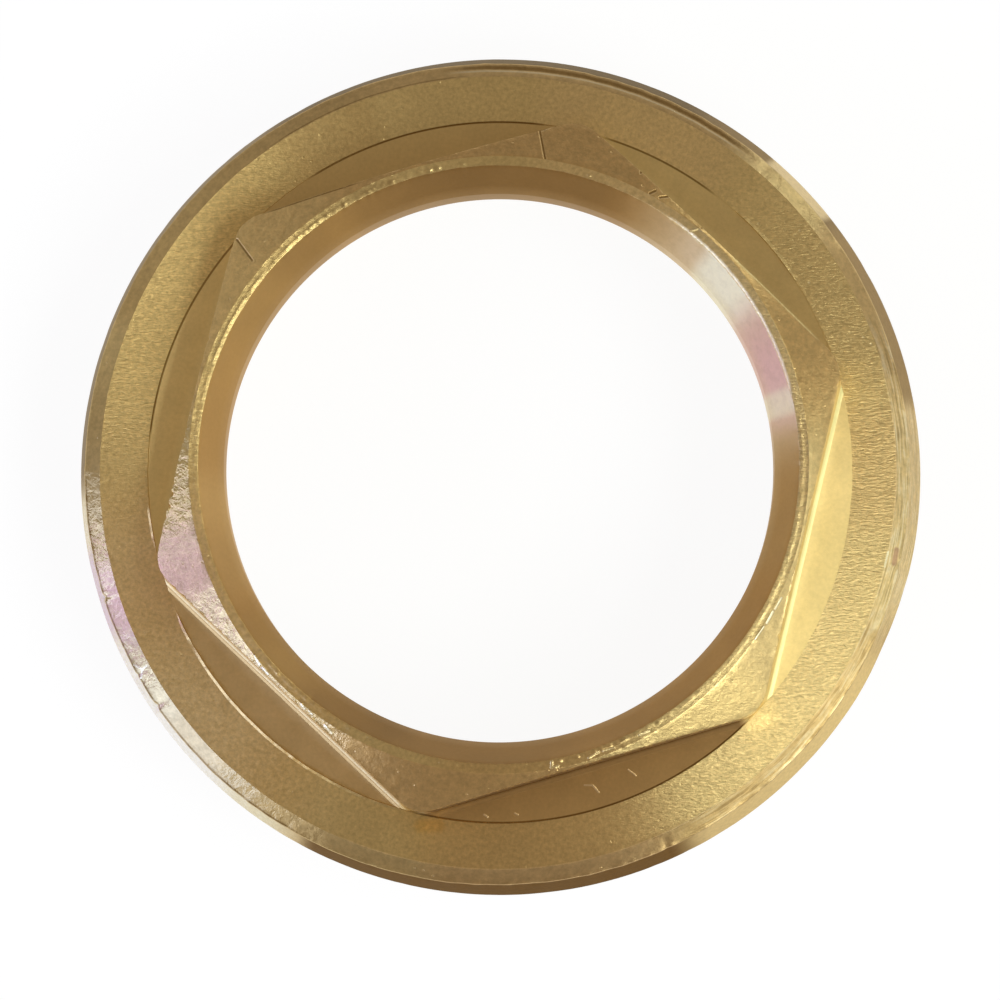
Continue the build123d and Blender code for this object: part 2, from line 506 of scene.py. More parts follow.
    # Foot and floor. Their rows close up towards the corners, and each keeps its gap to the next.
    step_in = boss - STEP_HALF
    step_line = 0.006 * ring.ragged(1.5, 1.0)
    sides = (-FACET_EDGE, FACET_EDGE)
    gaps = (0.0, *(at + side for at in (facet_start, facet_end) for side in sides))
    rows = [wall + gap / lean_cos for gap in gaps]
    floor_start = rows[-1]
    rows += [floor_start + part * np.maximum(step_in - floor_start, 0.0) for part in (0.3, 0.65)]
    rows.append(np.maximum(step_in - 0.04, floor_start))
    reach = wall
    for number, row in enumerate(rows):
        limit = step_in + step_line - RING_GAP * (len(rows) - number)
        radius = np.minimum(np.maximum(row, reach), limit)
        reach = radius + RING_GAP
        strip(MILLED, (radius, floor_height(radius) + foot_height(radius)))
    strip(MILLED, (step_in + step_line, floor_height(step_in) + foot_height(step_in)))

    # The step where the floor meets the flange's face, with the mill's burr.
    near_burr, far_burr = ring.stretches(NEAR_BURRS), ring.stretches(FAR_BURRS)
    milling_burr = (near_burr + far_burr) * (1.0 + ring.ragged(1.0, 0.2))
    step_out = boss + STEP_HALF + 1.3 * near_burr + 2.6 * far_burr
    strip(TURNED, (boss + step_line, np.maximum(floor_height(step_in), flange_top) + milling_burr))

    # Flange's face, a little dished and not quite central.
    dish = wear.dish / MM
    face_edge = face - 0.10 * ring.rightness + 0.008 * ring.ragged(3.0, 1.0)
    strip(TURNED, (step_out + step_line, flange_top))
    for part in (0.02, 0.12, 0.30, 0.50, 0.70, 0.88):
        strip(TURNED, (step_out + part * (face_edge - step_out), flange_top - dish * part**1.2))
    edge_height = flange_top - dish
    edge_lip = ring.stretch(60, 120, 8.0) * (0.012 + 0.006 * ring.ragged(0.9, 1.0))
    strip(TURNED, (face_edge - 0.04, edge_height + 0.3 * edge_lip))
    strip(CHAMFER, (face_edge, edge_height + edge_lip))

    # Chamfer, with a shallow tool groove along the far side, and the burr at its lower edge.
    nicks = ring.beads(RIM_NICKS)
    line = face + sizes.chamfer_width / MM
    line = line - 0.17 * ring.rightness + 0.012 * ring.ragged(1.6, 1.0) - nicks
    line_height = flange_top - sizes.chamfer_height / MM
    groove = ring.stretch(268, 306, 8.0)
    for part, sink in CHAMFER_ROWS:
        height = edge_height + part * (line_height - edge_height)
        height = height - TOOL_GROOVE_DEPTH * sink * groove
        strip(CHAMFER, (face_edge + part * (line - face_edge), height))
    lip = ring.stretch(20, 178, 6.0) * (0.03 + 0.018 * ring.ragged(0.8, 1.0)) - 0.6 * nicks
    strip(CHAMFER, (line - 0.05, line_height + 0.05 + 0.2 * lip), (line, line_height + lip))
    strip(CHAMFER, (line + 0.03, line_height - 0.06 + 0.3 * lip))

    # Rim, which widens downwards, and its broken lower edge.
    widest = rim - 0.07 * ring.stretch(15, 29, 8.0) - RIM_ROOM - 0.008 * ring.ragged(2.5, 1.0)
    widest = np.minimum(widest, rim - RIM_ROOM)
    rim_break = sizes.rim_break / MM
    for part in (0.35, 0.7, 1.0):
        height = line_height - 0.06 + part * (bottom + rim_break - line_height + 0.06)
        strip(CHAMFER, (line + 0.03 + part * (widest - line - 0.03), height))
    strip(CHAMFER, (widest - 0.5 * rim_break, bottom + 0.4 * rim_break))
    strip(THREAD, (widest - rim_break, bottom))

    skin = Skin()
    rings = [skin.ring(radius, height, COLUMNS) for radius, height, _ in stations]
    for first, second, (_, _, zone) in zip(rings, rings[1:], stations):
        skin.join(first, second, zone)
    last = lower_skin(skin, rings[-1], sizes, bottom)
    recess_skin(skin, last, rings[0], sizes, land_bottom, bore)
    return skin


def lower_skin(skin, before, sizes, bottom):
    """Adds the seating face, the relief and the thread, down to the end face."""
    thread = sizes.thread_radius / MM
    depth = sizes.thread_depth / MM
    pitch = sizes.thread_pitch / MM
    root = thread - depth
    relief = thread - sizes.relief_depth / MM
    relief_top = bottom + SEAT_RELIEF
    relief_bottom = bottom - sizes.relief_width / MM
    seat = [(thread + 1.4, bottom), (thread + 0.3, bottom)]
    seat += [(thread + 0.3, relief_top), (relief, relief_top)]
    before = skin.rings(before, seat, THREAD)

    # The thread's rows climb one pitch in a turn, so at the end of it each meets the row four on.
    # The groove between them runs out in the middle of the relief, at the first column.
    turn = np.arange(LOWER_COLUMNS) / LOWER_COLUMNS
    crest = sizes.thread_crest / MM
    flank = depth * tan(pi / 6)
    profile = ((0.0, thread), (crest, thread), (crest + flank, root), (pitch - flank, root))
    first_crest = (bottom - sizes.relief_width / MM / 2 - (crest + pitch) / 2) % pitch
    rows = []
    for number in range(-2, int(relief_bottom / pitch) + 3):
        for part, radius in profile:
            height = first_crest + pitch * (number + turn) + part
            radius = np.minimum(radius, thread - LEAD_IN + height)
            radius = np.minimum(radius, relief + (relief_bottom - height))
            radius = np.where(height <= 0.0, thread - LEAD_IN, radius)
            inside = np.maximum(radius, root * (height > LEAD_IN))
            radius = np.where(height >= relief_bottom, relief, inside)
            rows.append(skin.ring(radius, np.clip(height, 0.0, relief_bottom), LOWER_COLUMNS))
    for low, high in zip(rows, rows[1:]):
        skin.add(np.stack([high[:-1], high[1:], low[1:], low[:-1]], 1), THREAD)
    for low, high, next_low, next_high in zip(rows, rows[1:], rows[4:], rows[5:]):
        skin.add(np.array([[high[-1], next_high[0], next_low[0], low[-1]]]), THREAD)
    skin.join(before, rows[-1], THREAD)
    return rows[0]


def recess_skin(skin, before, first, sizes, land_bottom, bore):
    """Adds the end face and the recess, up to the bore's land."""
    recess = sizes.recess_radius / MM
    fillet = sizes.recess_fillet / MM
    ceiling = land_bottom - 1.0
    profile = [(recess + RECESS_MOUTH, 0.0), (recess, RECESS_MOUTH), (recess, 0.5 * ceiling)]
    for turn in np.radians([0.0, 30.0, 60.0, 90.0]):
        profile.append((recess - fillet * (1 - cos(turn)), ceiling - fillet * (1 - sin(turn))))
    profile += [(bore + 1.0, ceiling), (bore + 0.5, ceiling + 0.5)]
    skin.join(skin.rings(before, profile, THREAD), first, THREAD)


def read_all(items, name, width=1, kind=np.float64):
    """The same value of every item of a mesh, as an array with a row for each."""
    values = np.empty(len(items) * width, dtype=kind)
    items.foreach_get(name, values)
    return values.reshape(-1, width) if width > 1 else values


def nut_mesh(skin, name):
    """Turns the skin into one closed mesh, in metres, with its zones and its milling direction."""
    points = np.concatenate(skin.points) * MM
    mesh = bpy.data.meshes.new(name)
    mesh.from_pydata(points.tolist(), [], skin.faces)
    mesh.polygons.foreach_set("material_index", np.array(skin.zones, dtype=np.int32))
    work = bmesh.new()
    work.from_mesh(mesh)
    bmesh.ops.remove_doubles(work, verts=work.verts, dist=JOIN_GAP * MM)
    bmesh.ops.dissolve_degenerate(work, edges=work.edges, dist=THIN_EDGE * MM)
    bmesh.ops.recalc_face_normals(work, faces=work.faces)
    work.to_mesh(mesh)
    work.free()

    # The lay runs along each flat: u is measured along it, and v away from the axis.
    at = read_all(mesh.vertices, "co", 3)[read_all(mesh.loops, "vertex_index", kind=np.int32)]
    middles = read_all(mesh.polygons, "center", 3)
    nearest = np.round(np.degrees(np.arctan2(middles[:, 1], middles[:, 0])) / 60.0) * 60.0
    across = np.radians(np.repeat(nearest, read_all(mesh.polygons, "loop_total", kind=np.int32)))
    along = at[:, 1] * np.cos(across) - at[:, 0] * np.sin(across)
    outward = at[:, 0] * np.cos(across) + at[:, 1] * np.sin(across)
    uv = np.stack([0.5 + LAY_SCALE * along, LAY_SCALE * outward], 1)
    mesh.uv_layers.new(name=LAY).data.foreach_set("uv", uv.ravel())

    mesh.polygons.foreach_set("use_smooth", np.ones(len(mesh.polygons), dtype=bool))
    mesh.set_sharp_from_angle(angle=radians(SHARP_ANGLE))
    mesh.update()
    return mesh


# Finishes --------------------------------------------------------------------------------------

class Web:
    """Adds shader nodes to one tree and joins them up."""

    def __init__(self, tree):
        self.tree = tree
        tree.nodes.clear()

    def add(self, kind, inputs=None, **settings):
        node = self.tree.nodes.new(kind)
        for name, value in settings.items():
            setattr(node, name, value)
        for key, value in (inputs or {}).items():
            self.feed(node.inputs[key], value)
        return node

    def feed(self, socket, value):
        if isinstance(value, bpy.types.NodeSocket):
            self.tree.links.new(value, socket)
        elif socket.type == "RGBA" and len(value) == 3:
            socket.default_value = (*value, 1.0)
        else:
            socket.default_value = value

    def math(self, operation, *values, clamp=False):
        inputs = dict(enumerate(values))
        return self.add("ShaderNodeMath", inputs, operation=operation, use_clamp=clamp).outputs[0]

    def times(self, first, second):
        return self.math("MULTIPLY", first, second)

    def vector(self, operation, *values, output=0):
        node = self.add("ShaderNodeVectorMath", dict(enumerate(values)), operation=operation)
        return node.outputs[output]

    def dot(self, first, second):
        return self.vector("DOT_PRODUCT", first, second, output=1)

    def scale(self, vector, factor):
        node = self.add("ShaderNodeVectorMath", {0: vector, "Scale": factor}, operation="SCALE")
        return node.outputs[0]

    def combine(self, x, y, z):
        return self.add("ShaderNodeCombineXYZ", {0: x, 1: y, 2: z}).outputs[0]

    def split(self, vector):
        return self.add("ShaderNodeSeparateXYZ", {0: vector}).outputs

    def ramp(self, value, low, high, start=0.0, end=1.0, kind="SMOOTHSTEP"):
        """Runs from start to end while a value goes from low to high."""
        inputs = {"Value": value, "From Min": low, "From Max": high, "To Min": start, "To Max": end}
        node = self.add("ShaderNodeMapRange", inputs, interpolation_type=kind, clamp=True)
        return node.outputs[0]

    def noise(self, vector, scale=1.0, detail=2.0, roughness=0.5, distortion=0.0):
        inputs = {"Vector": vector, "Scale": scale, "Detail": detail, "Roughness": roughness}
        return self.add("ShaderNodeTexNoise", {**inputs, "Distortion": distortion}).outputs["Fac"]

    def blend(self, share_of_second, first, second, kind="MIX"):
        inputs = {0: share_of_second, 6: first, 7: second}
        node = self.add("ShaderNodeMix", data_type="RGBA", blend_type=kind, clamp_factor=True)
        for number, value in inputs.items():
            self.feed(node.inputs[number], value)
        return node.outputs[2]


class Brass(Web):
    """The node tree of one brass finish. Its marks are placed by their place round the nut, and by
    radius and height in millimetres, and its colour is laid on coat by coat."""

    def __init__(self, name):
        self.material = bpy.data.materials.new(name)
        self.material.use_nodes = True
        super().__init__(self.material.node_tree)
        self.spot = self.scale(self.add("ShaderNodeTexCoord").outputs["Object"], 1.0 / MM)
        x, y, self.z = self.split(self.spot)
        self.level = self.combine(x, y, 0.0)
        self.radius = self.vector("LENGTH", self.level, output=1)
        self.heading = self.vector("NORMALIZE", self.level)
        self.base = None

    # Where a mark lies: each of these values is 1 there and 0 elsewhere.

    def sector(self, start, end, soft=1.0):
        """Between two places round the nut, clockwise from start, with soft ends."""
        half = ((end - start) % 360.0) / 2
        closeness = self.dot(self.heading, toward(bearing_of(start + half)))
        outer = cos(radians(min(half + soft / 2, 180.0)))
        inner = cos(radians(max(half - soft / 2, 0.0)))
        return self.ramp(closeness, outer, inner)

    def between(self, value, low, high, soft):
        """Where a value lies between two others, with soft ends."""
        half = soft / 2
        above = self.ramp(value, low - half, low + half)
        return self.times(above, self.ramp(value, high - half, high + half, 1.0, 0.0))

    def patch(self, value, low, high, soft, sector):
        """Where a value lies between two others and a sector runs too."""
        return self.times(self.between(value, low, high, soft), self.sector(*sector))

    def groove(self, place, radius, end_place, end_radius, width):
        """On a thin scratch from one place and radius to another."""
        start = Vector(toward(bearing_of(place), radius))
        run = Vector(toward(bearing_of(end_place), end_radius)) - start
        offset = self.vector("SUBTRACT", self.level, start)
        along = self.dot(offset, run / run.length_squared)
        along = self.math("ADD", along, 0.0, clamp=True)
        gap = self.vector("DISTANCE", offset, self.scale(run, along), output=1)
        return self.ramp(gap, 0.3 * width, width, 1.0, 0.0)

    def sectors(self, *rows):
        """In any of several sectors, each with its softness. A fourth number says how strongly."""
        parts = []
        for start, end, soft, *strength in rows:
            part = self.sector(start, end, soft)
            parts.append(self.times(part, *strength) if strength else part)
        return self.most(*parts)

    def grooves(self, marks):
        """On any of several scratches."""
        found = self.groove(*marks[0])
        for mark in marks[1:]:
            found = self.math("MAXIMUM", found, self.groove(*mark))
        return found

    def specks(self, scale, size, keep):
        """On scattered small spots: about keep of the cells of a given fineness have one."""
        inputs = {"Vector": self.spot, "Scale": scale, "Randomness": 1.0}
        cells = self.add("ShaderNodeTexVoronoi", inputs)
        chosen = self.add("ShaderNodeSeparateColor", {0: cells.outputs["Color"]}).outputs[0]
        chosen = self.math("LESS_THAN", chosen, keep)
        return self.times(self.ramp(cells.outputs["Distance"], 0.4 * size, size, 1.0, 0.0), chosen)

    def most(self, *values):
        """The greatest of several values."""
        result = values[0]
        for value in values[1:]:
            result = self.math("MAXIMUM", result, value)
        return result

    def lay(self):
        """Places measured along the nearest flat and outward from the axis."""
        return self.add("ShaderNodeUVMap", uv_map=LAY).outputs[0]

    def outward(self):
        """Distance from the axis, square to the nearest flat."""
        return self.times(self.split(self.lay())[1], 1.0 / (LAY_SCALE * MM))

    # Unevenness.

    def cloud(self, *settings):
        """Noise of the same fineness in every direction."""
        return self.noise(self.spot, *settings)

    def crumpled(self, where, scale):
        """Sharp uneven dents where a value is 1."""
        dents = self.cloud(scale, 3.0, 0.65, 0.4)
        return self.times(self.math("SUBTRACT", dents, 0.5), where)

    def round_noise(self, around, outward, detail=2.0):
        """Noise with its own fineness round the axis and outward from it, and no seam."""
        heading = self.split(self.scale(self.heading, around))
        reach = self.math("MULTIPLY_ADD", self.radius, outward, self.times(self.z, outward))
        return self.noise(self.combine(heading[0], heading[1], reach), 1.0, detail, 0.6)

    def rubbing(self, along, across):
        """Straight rubbing marks, above and below zero: fine across and longer along. They are deep
        on the right, shallower on the left and the far right, and hardly there elsewhere."""
        ahead = self.dot(self.spot, toward(FIRST_TURN))
        aside = self.dot(self.spot, toward(FIRST_TURN + pi / 2))
        aside = self.math("MULTIPLY_ADD", self.cloud(0.6, 1.0), 0.35, aside)
        place = self.combine(self.times(ahead, along), self.times(aside, across), self.z)
        marks = self.math("SUBTRACT", self.noise(place, 1.0, 3.0, 0.6, 0.5), 0.5)
        depth = self.sectors((342, 66, 26.0), (182, 236, 16.0, 0.9), (312, 350, 20.0, 0.75))
        return self.times(marks, self.most(depth, 0.2))

    def total(self, *parts):
        """The sum of several heights, each given with its weight."""
        result = 0.0
        for value, weight in parts:
            result = self.math("MULTIPLY_ADD", value, weight, result)
        return result

    # Coats of colour over the base.

    def start(self, noise, first, second):
        """Lays the first coat: two colours, mixed by a noise."""
        self.base = self.blend(self.ramp(noise, 0.3, 0.7), first, second)

    def paint(self, where, tone, amount=1.0):
        """Lays a colour over the base where a value is 1."""
        if amount != 1.0:
            where = self.times(where, amount)
        self.base = self.blend(where, self.base, tone)

    def tint(self, where, factors):
        """Multiplies the base by another colour where a value is 1."""
        self.base = self.blend(where, self.base, factors, "MULTIPLY")

    def tint_sectors(self, *rows):
        """Tints the base in sectors, each given with its colour last."""
        for *sector, factors in rows:
            self.tint(self.sector(*sector), factors)

    def paint_sectors(self, *rows, within=None):
        """Lays colours on in sectors, given the same way, and only where a value is 1."""
        for *sector, tone in rows:
            where = self.sector(*sector)
            self.paint(self.times(within, where) if within else where, tone)

    def grain(self, spread=0.10):
        """Gives the base a fine grain of lighter and darker spots."""
        grain = self.cloud(4.4, 3.0, 0.6)
        factor = self.ramp(grain, 0.3, 0.7, 1.0 - spread, 1.0 + spread, "LINEAR")
        self.base = self.scale(self.base, factor)

    def paint_corner_shade(self, tone):
        """Painted shade in stretches of the corner between the milled floors and the flange's face.
        """
        where = self.sectors((46, 104, 4.0), (186, 222, 4.0), (238, 277, 4.0), (288, 307, 4.0))
        self.paint(self.times(self.between(self.radius, 20.47, 20.585, 0.05), where), tone, 0.75)

    def close(self, roughness, height, depth, anisotropy, turned=True, edge=(1.0, 1.0, 1.0)):
        """Closes the tree with the shader. Height is in units of depth, in millimetres."""
        tangent = self.add("ShaderNodeTangent")
        if turned:
            tangent.direction_type = "RADIAL"
            tangent.axis = "Z"
        else:
            tangent.direction_type = "UV_MAP"
            tangent.uv_map = LAY
        inputs = {"Height": height, "Distance": depth * MM, "Strength": 1.0}
        bump = self.add("ShaderNodeBump", inputs).outputs[0]
        inputs = {"Base Color": self.base, "Roughness": roughness, "Normal": bump}
        inputs["Tangent"] = tangent.outputs[0]
        shader = self.add("ShaderNodeBsdfPrincipled", inputs)
        shader.inputs["Metallic"].default_value = 1.0
        shader.inputs["Anisotropic"].default_value = anisotropy
        shader.inputs["Anisotropic Rotation"].default_value = 0.25
        shader.inputs["Specular Tint"].default_value = (*edge, 1.0)
        self.add("ShaderNodeOutputMaterial", {"Surface": shader.outputs[0]})
        return self.material


def shade(tone, factor):
    return tuple(factor * value for value in tone)


def turned_finish(finish, bump):
    """Flange face and crown: turned circles, rubbed straight across on a flat stone."""
    web = Brass("turned_brass")
    rubbed = web.rubbing(2.4, 9)
    circles = web.round_noise(5, 14)
    mottle = web.cloud(3.2, 3, 0.6)
    cloud = web.cloud(0.35)
    pits = web.specks(1.6, 0.16, 0.25)
    crumbs_and_glints = web.grooves(CRUMB_GLINTS)
    height = web.total((rubbed, 2.4), (circles, 0.15), (mottle, 0.8), (pits, -0.6), (crumbs_and_glints, 2.4))
    web.start(web.total((mottle, 0.6), (cloud, 0.4)), shade(finish.brass, 0.88), finish.brass)
    web.paint(web.ramp(rubbed, 0, 0.16), shade(finish.brass, 1.12))
    web.paint(web.ramp(rubbed, -0.16, 0, 1, 0), shade(finish.brass, 0.8))
    rightward = web.dot(web.heading, toward(FIRST_TURN))
    worn = web.between(web.math("MULTIPLY_ADD", rightward, 0.1, web.radius), 23.19, 23.26, 0.05)
    worn = web.times(worn, web.sectors((56, 112, 10), (345, 22, 6)))
    web.paint(worn, (0.95, 0.76, 0.42), 0.6)
    web.paint(web.groove(*SMEAR), (1, 0.92, 0.62))
    # A painted reflection: a bright spot on the face outside a corner.
    web.paint(web.groove(*CORNER_REFLECTION), shade(finish.brass, 1.25), 0.7)
    # A painted highlight on the crown's rounded inner edge, in one stretch.
    web.paint(web.patch(web.radius, 17.28, 17.42, 0.05, (305, 346, 3)), (0.98, 0.8, 0.46), 0.8)
    # Painted light and shade: the face is tinted lighter or darker by sector.
    web.tint_sectors(
        (352, 8, 8, (0.95, 0.92, 0.92)),
        (8, 38, 14, (0.93, 0.93, 0.94)),
        (66, 100, 14, (0.95, 0.88, 0.85)),
        (122, 176, 12, (1, 0.92, 0.82)),
        (174, 236, 12, (1, 0.97, 0.91)),
        (236, 250, 6, (0.9, 0.86, 0.83)),
        (278, 306, 10, (1.1, 1.09, 1.15)),
    )
    # Painted light and shade on the crown, by sector.
    on_crown = web.ramp(web.radius, 18.5, 19, 1, 0)
    for start, end, factor in (
        (352, 8, 0.92), (23, 38, 1.1), (52, 67, 0.9), (200, 222, 0.9), (232, 247, 0.82)
    ):
        web.tint(web.times(on_crown, web.sector(start, end, 8)), (factor,) * 3)
    web.tint(web.groove(*AMBER), (1, 0.91, 0.74))
    # Painted glints on the crumbs.
    web.paint(crumbs_and_glints, (0.98, 0.8, 0.44), 0.7)
    # Painted glints on the pits, in one stretch of the face.
    web.paint(web.times(pits, web.sector(314, 346, 12)), (0.98, 0.84, 0.52), 0.55)
    web.grain(0.14)
    # Painted shade in the corner round the milled floors.
    web.paint_corner_shade(finish.painted_shade)
    smooth = finish.turned_roughness
    roughness = web.ramp(mottle, 0.3, 0.7, smooth - 0.03, smooth + 0.05)
    return web.close(roughness, height, 0.024 * bump, 0.92)


def cone_finish(finish, bump):
    """Cone of the hexagon: turned, then tumbled, so its light is mottled."""
    web = Brass("cone_brass")
    mottle = web.cloud(1.9, 4, 0.6)
    fine = web.cloud(4.5, 3, 0.6)
    rubbed = web.rubbing(2.4, 7)
    dented = web.sectors((118, 157, 5), (168, 182, 6), (206, 232, 6, 0.4))
    crumpled = web.crumpled(web.most(dented, 0.08), 1.9)
    pits = web.specks(1.9, 0.18, 0.3)
    marks = web.grooves(SCRATCHES)
    crumbs_and_glints = web.grooves(CRUMB_GLINTS)
    height = web.total(
        (mottle, 1), (fine, 0.9), (rubbed, 1), (pits, -0.9), (marks, -3), (crumpled, 6), (crumbs_and_glints, 2)
    )
    web.start(mottle, shade(finish.brass, 0.84), finish.brass)
    # Painted light and shade: the cone is tinted lighter or darker, and warmer or cooler, by
    # sector.
    web.tint_sectors(
        (20, 60, 10, (0.9, 0.88, 0.84)),
        (20, 39, 8, (0.84, 0.84, 0.88)),
        (75, 120, 12, (0.95, 0.84, 0.8)),
        (120, 157, 6, (0.95, 0.93, 0.95)),
        (157, 169, 4, (0.82, 0.74, 0.8)),
        (169, 190, 4, (0.96, 0.94, 0.86)),
        (190, 240, 8, (1.03, 0.97, 0.93)),
        (240, 300, 10, (0.95, 0.84, 0.77)),
        (300, 352, 14, (1.02, 0.93, 0.85)),
    )
    edge = web.between(web.outward(), 17.9, 17.98, 0.05)
    # A painted highlight along the hexagon's upper edge, in one stretch.
    web.paint(web.times(edge, web.sector(319, 338, 3)), (1, 0.84, 0.42), 0.8)
    # Painted glints on the crumbs.
    web.paint(crumbs_and_glints, (1, 0.9, 0.62), 0.8)
    web.grain()
    # Painted shade in the scratches, and a painted shadow by the hexagon's edge.
    shadow = web.times(edge, web.sector(228, 243, 4))
    web.paint(web.most(marks, shadow), finish.painted_shade, 0.7)
    return web.close(finish.turned_roughness, height, 0.03 * bump, 0.6)


def milled_finish(finish, bump):
    """Flats and floors of the hexagon: milled, with the lay along each flat."""
    web = Brass("milled_brass")
    lines = web.noise(web.vector("MULTIPLY", web.lay(), (60, 900, 1)))
    cloud = web.cloud(0.5, 3, 0.6)
    pits = web.specks(1.1, 0.1, 0.15)
    rubbed = web.rubbing(1.6, 7)
    scrapes = web.grooves(FLOOR_SCRAPES)
    height = web.total((lines, 0.2), (cloud, 0.5), (rubbed, 0.8), (pits, -0.4), (scrapes, 1.5))
    web.start(cloud, shade(finish.brass, 0.92), finish.brass)
    # Painted light and shade: each floor is tinted lighter or darker by sector.
    web.tint_sectors(
        (343.5, 43.5, (1.05, 1.07, 1.03)),
        (46, 102, (0.86, 0.74, 0.69)),
        (104, 163, (0.86, 0.77, 0.69)),
        (164, 223, (1.12, 1.11, 1.1)),
        (224, 283, (0.91, 0.86, 0.83)),
    )
    web.grain(0.05)
    out = web.outward()
    # A painted highlight on the foot's facet by the right flat.
    web.paint(web.patch(out, 18.23, 18.47, 0.05, (344, 43)), (0.98, 0.88, 0.42), 0.8)
    # Painted light on the right floor.
    web.tint_sectors((340, 7, 8, (1.1, 1.1, 1.12)))
    # Painted light and shade on the foot of some flats: lighter and darker strips and a dark line.
    for low, high, sector, factors in (
        (18, 18.32, (46, 102), (0.88, 0.86, 0.84)),
        (18.06, 18.19, (104, 163), (1.12, 1.22, 1.38)),
        (18.21, 18.25, (104, 163), (0.6, 0.52, 0.42)),
        (18.27, 18.4, (104, 163), (0.94, 0.92, 0.86)),
    ):
        web.tint(web.patch(out, low, high, 0.03, sector), factors)
    # Painted shade on the walls of the flats in one stretch.
    wall = web.times(web.ramp(web.z, 9.95, 10.2), web.sector(46, 101, 2))
    web.tint(wall, (0.5, 0.46, 0.42))
    web.paint(scrapes, (0.95, 0.74, 0.45), 0.6)
    # Painted shade in the corner round the milled floors.
    web.paint_corner_shade(finish.painted_shade)
    smooth = finish.milled_roughness
    roughness = web.ramp(cloud, 0.3, 0.7, smooth, smooth + 0.03)
    return web.close(roughness, height, 0.008 * bump, 0.94, turned=False)


def chamfer_finish(finish, bump):
    """Chamfer and rim: finely turned, with painted shade and painted reflection on the rim by
    stretches.
    """
    web = Brass("chamfer_brass")
    circles = web.round_noise(8, 9)
    mottle = web.cloud(1.6, 4, 0.65)
    pits = web.specks(1.8, 0.12, 0.2)
    dented = web.sectors((116, 180, 10, 0.5), (165, 173, 5), (311, 323, 3, 0.5))
    crumpled = web.crumpled(dented, 1.5)
    height = web.total((circles, 0.8), (mottle, 1.6), (pits, -1.5), (crumpled, 13))
    web.start(mottle, shade(finish.chamfer, 0.84), finish.chamfer)
    fine = web.round_noise(10, 26)
    streaked = web.sector(340, 62, 10)
    web.paint(web.times(web.ramp(fine, 0.5, 0.62), streaked), finish.rubbed, 0.5)
    web.paint(web.times(web.ramp(fine, 0.48, 0.36), streaked), finish.dulled_and_shade, 0.5)
    # Painted light and shade on the chamfer: its colour is set and tinted by sector.
    web.paint(web.sector(155, 167, 3), (0.81, 0.62, 0.36))
    web.tint_sectors(
        (9, 22, 6, (1.07, 1.08, 1.06)),
        (22, 66, 10, (0.82, 0.76, 0.68)),
        (66, 100, 8, (0.97, 0.9, 0.9)),
        (127, 144, 6, (0.98, 1, 1.05)),
        (144, 155, 6, (1.12, 1.2, 1.3)),
        (202, 250, 6, (0.84, 0.79, 0.74)),
        (250, 306, 6, (0.95, 0.9, 0.86)),
        (311.5, 322.5, 1.5, (0.9, 0.9, 0.87)),
        (324, 352, 6, (1.15, 1.12, 1.08)),
    )
    # Painted shade: a dark line along the chamfer's upper edge.
    web.paint(web.patch(web.z, 9.655, 9.7, 0.03, (236, 264, 5)), finish.painted_shade, 0.45)
    web.paint(web.groove(*KNOCK), (0.46, 0.27, 0.16), 0.8)
    # Painted reflection and painted shade on the rim, lighter or darker stretch by stretch.
    rim = web.ramp(web.z, 9.08, 9.18, 1, 0)
    web.paint_sectors(
        (62, 118, 4, finish.painted_shade),
        (26, 62, 8, (0.68, 0.5, 0.22)),
        (121, 178, 8, finish.rubbed),
        (131, 156, 6, (0.85, 0.8, 0.66)),
        (157, 169, 3, (0.72, 0.61, 0.57)),
        (178, 350, 6, finish.dulled_and_shade),
        (180, 236, 10, (0.275, 0.205, 0.115)),
        (237, 300, 8, shade(finish.dulled_and_shade, 0.6)),
        (324, 350, 4, shade(finish.dulled_and_shade, 1.36)),
        (311, 322, 1.5, (0.72, 0.57, 0.32)),
        within=rim,
    )
    web.grain()
    # Painted shade in a dark line above the burr line, and painted shade and a painted highlight
    # along the tool groove.
    web.paint(web.patch(web.z, 9.215, 9.275, 0.03, (119, 179, 5)), finish.painted_shade, 0.6)
    web.paint(web.patch(web.z, 9.29, 9.39, 0.04, (264, 306, 5)), finish.painted_shade, 0.5)
    web.paint(web.patch(web.z, 9.44, 9.53, 0.04, (264, 306, 5)), finish.rubbed, 0.45)
    web.paint(web.grooves(FLAKE), (1, 0.9, 0.6), 0.85)
    return web.close(finish.chamfer_roughness, height, 0.012 * bump, 0.94, edge=(1, 0.92, 0.8))


def bore_finish(finish, bump):
    """Bore and countersink: smoothly reamed, painted darker as shade, and with painted reflections
    on one side.
    """
    web = Brass("bore_brass")
    circles = web.round_noise(6, 7)
    cloud = web.cloud(0.25)
    height = web.total((circles, 0.6), (cloud, 0.5))
    web.start(cloud, shade(finish.bore, 0.9), finish.bore)
    # Painted light and shade: the bore is lightened, darkened and tinted by sector, with painted
    # reflections in one stretch.
    web.paint(web.sector(150, 200, 30), shade(finish.bore, 1.5), 0.35)
    web.tint_sectors((112, 147, 14, (0.82, 0.82, 0.8)), (176, 232, 14, (0.87, 0.87, 0.89)))
    web.tint(web.sectors((156, 176, 12), (354, 20, 10)), (1.09, 1.16, 1.28))
    web.tint(web.sectors((78, 114, 14), (242, 292, 14)), (0.88, 0.89, 0.92))
    web.paint_sectors(
        (305, 352, 24, (0.72, 0.54, 0.29)),
        (315, 330, 4, (0.86, 0.76, 0.48)),
        (330, 350, 12, (0.76, 0.52, 0.36)),
        (345.5, 350, 2.5, (0.84, 0.72, 0.45)),
    )
    dim = web.ramp(web.cloud(1.6, 3, 0.6), 0.55, 0.35)
    web.tint(web.times(dim, web.sector(300, 352, 12)), (0.94, 0.93, 0.92))
    web.grain(0.03)
    return web.close(0.36, height, 0.006 * bump, 0.9)


